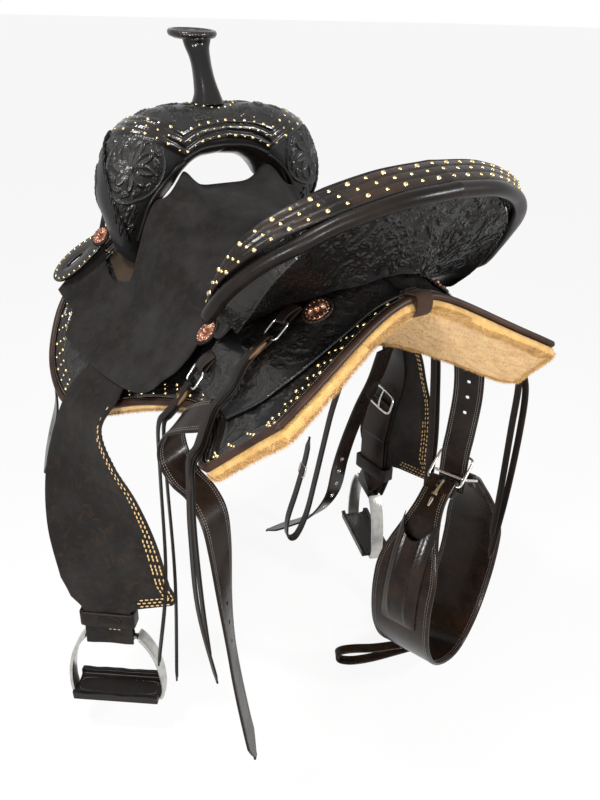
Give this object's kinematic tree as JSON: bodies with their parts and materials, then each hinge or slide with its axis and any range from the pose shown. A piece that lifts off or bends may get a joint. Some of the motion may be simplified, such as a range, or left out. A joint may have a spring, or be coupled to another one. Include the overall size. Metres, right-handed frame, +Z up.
{
  "type": "barrel racing saddle",
  "caption": "Western barrel racing saddle with roughout seat and fenders, tooled skirts, short horn, hanging stirrups, rear billets and flank cinch.",
  "frame": {"origin": "centre line in the channel under the seat, level with the top of the wool at the ridge, half way between the swell and the cantle", "axes": "+X to the horse's right (off) side, +Y forward to the horn, +Z up"},
  "size_m": [0.7009, 0.6409, 1.012],
  "materials": {
    "tooled_leather": "glossy, carved flowers and ribbed borders",
    "roughout_leather": "matt, flesh side out",
    "strap_leather": "satin",
    "ground_leather": "matt",
    "wool": "woven fleece",
    "tree_wood": "sanded",
    "antique_copper": "aged",
    "buckle_steel": "polished",
    "stirrup_aluminium": "satin"
  },
  "bodies": {
    "saddle": {"cantle_back": "tooled_leather", "cantle_band": "tooled_leather", "cantle_binding": "tooled_leather", "cantle_board": "tree_wood", "cantle_roll": "tooled_leather", "fork_core": "tree_wood", "ground_seat": "ground_leather", "horn_cap": "tooled_leather", "horn_neck": "tooled_leather", "near_fleece": "wool", "near_front_string_dee": "buckle_steel", "near_keeper_concho": "antique_copper", "near_rear_billet": "strap_leather", "near_rear_concho": "antique_copper", "near_rear_jockey": "tooled_leather", "near_rear_string_dee": "buckle_steel", "near_seat_concho": "antique_copper", "near_skirt": "tooled_leather", "near_tree_bar": "tree_wood", "off_billet": "strap_leather", "off_fleece": "wool", "off_front_string_dee": "buckle_steel", "off_keeper_concho": "antique_copper", "off_rear_concho": "antique_copper", "off_rear_jockey": "tooled_leather", "off_rear_string_dee": "buckle_steel", "off_seat_concho": "antique_copper", "off_skirt": "tooled_leather", "off_tie_strap": "strap_leather", "off_tree_bar": "tree_wood", "seat": "roughout_leather", "swell_cover": "tooled_leather"},
    "near_fender_group": {"near_fender": "roughout_leather", "near_stirrup_leather": "strap_leather", "near_leather_buckle": "buckle_steel", "near_hobble_strap": "strap_leather"},
    "near_stirrup": {"near_stirrup_bow": "stirrup_aluminium", "near_stirrup_tread": "strap_leather"},
    "near_rear_saddle_string_body": {"near_rear_saddle_string": "strap_leather"},
    "near_front_saddle_string_body": {"near_front_saddle_string": "strap_leather"},
    "near_latigo_keeper_body": {"near_latigo_keeper": "tooled_leather"},
    "off_fender_group": {"off_fender": "roughout_leather", "off_stirrup_leather": "strap_leather", "off_leather_buckle": "buckle_steel", "off_hobble_strap": "strap_leather"},
    "off_stirrup": {"off_stirrup_bow": "stirrup_aluminium", "off_stirrup_tread": "strap_leather"},
    "off_rear_saddle_string_body": {"off_rear_saddle_string": "strap_leather"},
    "off_front_saddle_string_body": {"off_front_saddle_string": "strap_leather"},
    "off_latigo_keeper_body": {"off_latigo_keeper": "tooled_leather"},
    "near_latigo_body": {"near_latigo": "strap_leather"},
    "off_rear_billet_body": {"off_rear_billet": "strap_leather"},
    "cinch": {"flank_cinch": "strap_leather", "billet_pocket": "strap_leather", "cinch_connector": "strap_leather", "near_cinch_buckle": "buckle_steel", "off_cinch_buckle": "buckle_steel"},
    "near_cinch_tongue_body": {"near_cinch_tongue": "buckle_steel"},
    "off_cinch_tongue_body": {"off_cinch_tongue": "buckle_steel"}
  },
  "joints": [
    {"name": "near_fender_swing", "type": "hinge", "parent": "saddle", "child": "near_fender_group", "pos_m": [-0.2252, 0.03, -0.15313], "axis": [0.6991, 0, -0.7151], "range_deg": [-8, 2]},
    {"name": "near_stirrup_turn", "type": "hinge", "parent": "near_fender_group", "child": "near_stirrup", "pos_m": [-0.28996, 0.01384, -0.558], "axis": [-0.788, 0.6157, 0], "range_deg": [-35, 35]},
    {"name": "near_rear_string_lift", "type": "hinge", "parent": "saddle", "child": "near_rear_saddle_string_body", "pos_m": [-0.13645, -0.1825, -0.03529], "axis": [0.0417, 0.9888, -0.1434], "range_deg": [0, 14]},
    {"name": "near_front_string_lift", "type": "hinge", "parent": "saddle", "child": "near_front_saddle_string_body", "pos_m": [-0.18779, -0.08051, -0.12207], "axis": [0.1797, 0.9754, 0.1279], "range_deg": [0, 14]},
    {"name": "near_keeper_swivel", "type": "hinge", "parent": "saddle", "child": "near_latigo_keeper_body", "pos_m": [-0.16055, 0.26067, -0.01797], "axis": [-0.6119, -0.2934, 0.7345], "range_deg": [-12, 12]},
    {"name": "off_fender_swing", "type": "hinge", "parent": "saddle", "child": "off_fender_group", "pos_m": [0.2252, 0.06991, -0.15304], "axis": [0.6991, 0, 0.7151], "range_deg": [-10, 2]},
    {"name": "off_stirrup_turn", "type": "hinge", "parent": "off_fender_group", "child": "off_stirrup", "pos_m": [0.25968, 0.08557, -0.523], "axis": [0.342, 0.9397, 0], "range_deg": [-30, 28]},
    {"name": "off_rear_string_lift", "type": "hinge", "parent": "saddle", "child": "off_rear_saddle_string_body", "pos_m": [0.13655, -0.18238, -0.03449], "axis": [0.0413, -0.9888, 0.1437], "range_deg": [0, 14]},
    {"name": "off_front_string_lift", "type": "hinge", "parent": "saddle", "child": "off_front_saddle_string_body", "pos_m": [0.18779, -0.0805, -0.12207], "axis": [0.18, -0.9753, -0.1281], "range_deg": [0, 7]},
    {"name": "off_keeper_swivel", "type": "hinge", "parent": "saddle", "child": "off_latigo_keeper_body", "pos_m": [0.16055, 0.26067, -0.01797], "axis": [0.6119, -0.2934, 0.7345], "range_deg": [-12, 12]},
    {"name": "near_latigo_swing", "type": "hinge", "parent": "saddle", "child": "near_latigo_body", "pos_m": [-0.2714, 0.214, -0.2144], "axis": [0, 1, 0], "range_deg": [0, 15]},
    {"name": "off_rear_billet_swing", "type": "hinge", "parent": "saddle", "child": "off_rear_billet_body", "pos_m": [0.2115, -0.157, -0.1385], "axis": [0.5388, -0.8424, 0], "range_deg": [0, 13]},
    {"name": "flank_cinch_swing", "type": "hinge", "parent": "off_rear_billet_body", "child": "cinch", "pos_m": [0.20021, -0.16965, -0.338], "axis": [0.3, -0.9539, 0], "range_deg": [-10, 5]},
    {"name": "near_cinch_tongue_turn", "type": "hinge", "parent": "cinch", "child": "near_cinch_tongue_body", "pos_m": [0.18602, -0.17411, -0.34414], "axis": [-0.3, 0.9539, 0], "range_deg": [0, 25]},
    {"name": "off_cinch_tongue_turn", "type": "hinge", "parent": "cinch", "child": "off_cinch_tongue_body", "pos_m": [0.24942, -0.15418, -0.36386], "axis": [0.3, -0.9539, 0], "range_deg": [0, 25]}
  ]
}
